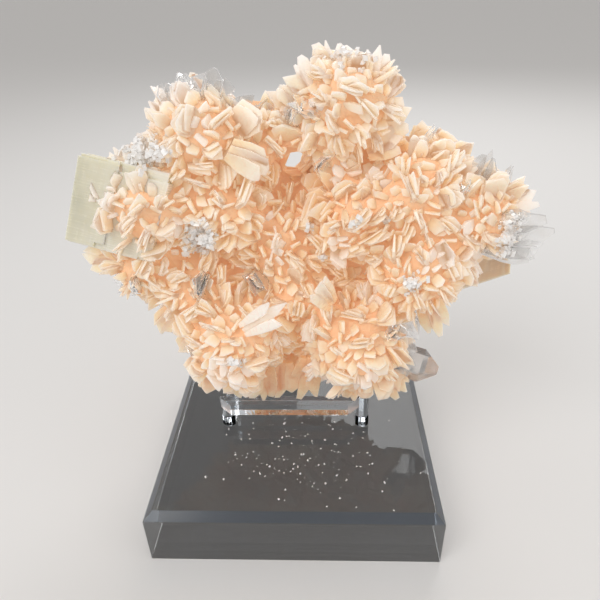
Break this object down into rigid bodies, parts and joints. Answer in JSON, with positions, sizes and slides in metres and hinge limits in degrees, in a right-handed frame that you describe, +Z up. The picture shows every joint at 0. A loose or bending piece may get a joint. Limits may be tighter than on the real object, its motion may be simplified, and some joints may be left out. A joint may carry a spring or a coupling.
{
  "type": "mineral specimen",
  "caption": "Radiating peach mineral blades with pale calcite rhombs and a clear crystal, resting on a clear acrylic stand.",
  "frame": {"origin": "centre of the stand block's underside", "axes": "+Z up, out of the block's top; -Y towards the front of the specimen; +X to the right as seen from the front"},
  "size_m": [0.1427, 0.086, 0.144],
  "materials": {
    "peach_blades": "translucent, glossy",
    "pale_calcite": "translucent, satin",
    "tan_calcite": "translucent, satin",
    "clear_crystal": "clear, glassy",
    "clear_acrylic": "clear, polished",
    "frosted_acrylic": "clear front, frosted ends"
  },
  "bodies": {
    "root": {"blade_cluster": "peach_blades", "calcite_rhomb_left": "pale_calcite", "calcite_rhomb_right": "tan_calcite", "clear_crystal": "clear_crystal", "stand_block": "clear_acrylic", "post_left": "clear_acrylic", "post_right": "clear_acrylic", "arm_left": "clear_acrylic", "arm_right": "clear_acrylic", "ledge_bar": "frosted_acrylic"}
  },
  "joints": []
}
